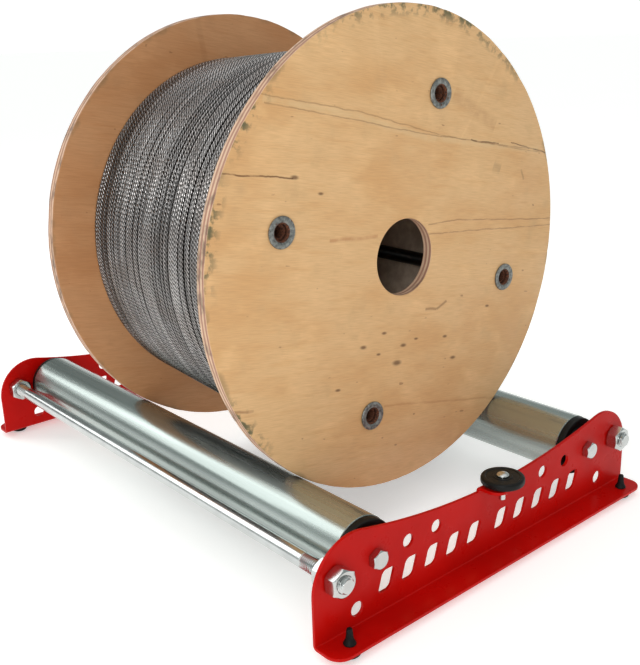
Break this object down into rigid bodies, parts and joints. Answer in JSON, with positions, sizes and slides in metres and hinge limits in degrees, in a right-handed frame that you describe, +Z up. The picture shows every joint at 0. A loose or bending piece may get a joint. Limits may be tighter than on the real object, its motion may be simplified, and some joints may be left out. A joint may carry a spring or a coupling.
{
  "type": "wire reel roller stand",
  "caption": "Low red roller stand that carries a wooden reel of wire rope on two free rollers, so that the rope can be drawn off.",
  "frame": {"origin": "on the floor under the middle of the stand, half way between the side plates and half way between the rollers", "axes": "+Z up; X runs along the rollers and the reel's axis, +X towards the side plate that the reel stands nearer to; -Y is the front, where the rope is drawn off"},
  "size_m": [0.5456, 0.3726, 0.4104],
  "materials": {
    "side_plates": "bright red powder coat, satin gloss, 2.5 mm folded steel",
    "tie_rods": "bright zinc-plated threaded rod",
    "nuts_and_bolts": "bright zinc plating",
    "roller_axles": "bright drawn bar",
    "roller_tubes": "galvanised tube with soft streaky reflections",
    "bearing_rings": "ground bearing steel",
    "end_caps": "moulded black plastic",
    "guide_wheels": "moulded black nylon",
    "feet": "moulded black rubber",
    "reel_flanges": "worn unpainted plywood with filled strips and a dirty rim",
    "reel_barrel": "grey-brown bent fibreboard",
    "wire_rope": "stranded steel wire rope wound in layers",
    "reel_bolts": "black steel bar with rusty ends",
    "reel_ferrules": "dull grey pressed steel"
  },
  "bodies": {
    "stand": {"near_side_plate": "side_plates", "far_side_plate": "side_plates", "front_tie_rod": "tie_rods", "front_near_outer_nut": "nuts_and_bolts", "front_near_inner_nut": "nuts_and_bolts", "front_near_roller_bolt": "nuts_and_bolts", "front_near_bearing_inner": "bearing_rings", "front_near_foot": "feet", "front_far_outer_nut": "nuts_and_bolts", "front_far_inner_nut": "nuts_and_bolts", "front_far_roller_bolt": "nuts_and_bolts", "front_far_bearing_inner": "bearing_rings", "front_far_foot": "feet", "front_roller_axle": "roller_axles", "rear_tie_rod": "tie_rods", "rear_near_outer_nut": "nuts_and_bolts", "rear_near_inner_nut": "nuts_and_bolts", "rear_near_roller_bolt": "nuts_and_bolts", "rear_near_bearing_inner": "bearing_rings", "rear_near_foot": "feet", "rear_far_outer_nut": "nuts_and_bolts", "rear_far_inner_nut": "nuts_and_bolts", "rear_far_roller_bolt": "nuts_and_bolts", "rear_far_bearing_inner": "bearing_rings", "rear_far_foot": "feet", "rear_roller_axle": "roller_axles", "near_wheel_screw": "nuts_and_bolts", "near_wheel_nut": "nuts_and_bolts", "near_wheel_washer": "nuts_and_bolts", "far_wheel_screw": "nuts_and_bolts", "far_wheel_nut": "nuts_and_bolts", "far_wheel_washer": "nuts_and_bolts"},
    "reel": {"near_reel_flange": "reel_flanges", "far_reel_flange": "reel_flanges", "reel_barrel": "reel_barrel", "wire_rope_pack": "wire_rope", "reel_bolt_1": "reel_bolts", "near_reel_ferrule_1": "reel_ferrules", "far_reel_ferrule_1": "reel_ferrules", "reel_bolt_2": "reel_bolts", "near_reel_ferrule_2": "reel_ferrules", "far_reel_ferrule_2": "reel_ferrules", "reel_bolt_3": "reel_bolts", "near_reel_ferrule_3": "reel_ferrules", "far_reel_ferrule_3": "reel_ferrules", "reel_bolt_4": "reel_bolts", "near_reel_ferrule_4": "reel_ferrules", "far_reel_ferrule_4": "reel_ferrules"},
    "front_roller": {"front_roller_tube": "roller_tubes", "front_near_end_cap": "end_caps", "front_near_bearing_outer": "bearing_rings", "front_far_end_cap": "end_caps", "front_far_bearing_outer": "bearing_rings"},
    "rear_roller": {"rear_roller_tube": "roller_tubes", "rear_near_end_cap": "end_caps", "rear_near_bearing_outer": "bearing_rings", "rear_far_end_cap": "end_caps", "rear_far_bearing_outer": "bearing_rings"},
    "near_wheel": {"near_guide_wheel": "guide_wheels"},
    "far_wheel": {"far_guide_wheel": "guide_wheels"}
  },
  "joints": [
    {"name": "reel_spin", "type": "hinge", "parent": "stand", "child": "reel", "pos_m": [0, 0, 0.22411], "axis": [1, 0, 0], "continuous": true},
    {"name": "front_roller_spin", "type": "hinge", "parent": "stand", "child": "front_roller", "pos_m": [0, -0.1231, 0.052], "axis": [1, 0, 0], "continuous": true},
    {"name": "rear_roller_spin", "type": "hinge", "parent": "stand", "child": "rear_roller", "pos_m": [0, 0.1231, 0.052], "axis": [1, 0, 0], "continuous": true},
    {"name": "near_wheel_spin", "type": "hinge", "parent": "stand", "child": "near_wheel", "pos_m": [0.2563, 0, 0.0677], "axis": [0, 0, 1], "continuous": true},
    {"name": "far_wheel_spin", "type": "hinge", "parent": "stand", "child": "far_wheel", "pos_m": [-0.2563, 0, 0.0677], "axis": [0, 0, 1], "continuous": true}
  ],
  "couplings": [
    {"joint": "front_roller_spin", "follows": "reel_spin", "ratio": -7.452},
    {"joint": "rear_roller_spin", "follows": "reel_spin", "ratio": -7.452}
  ]
}
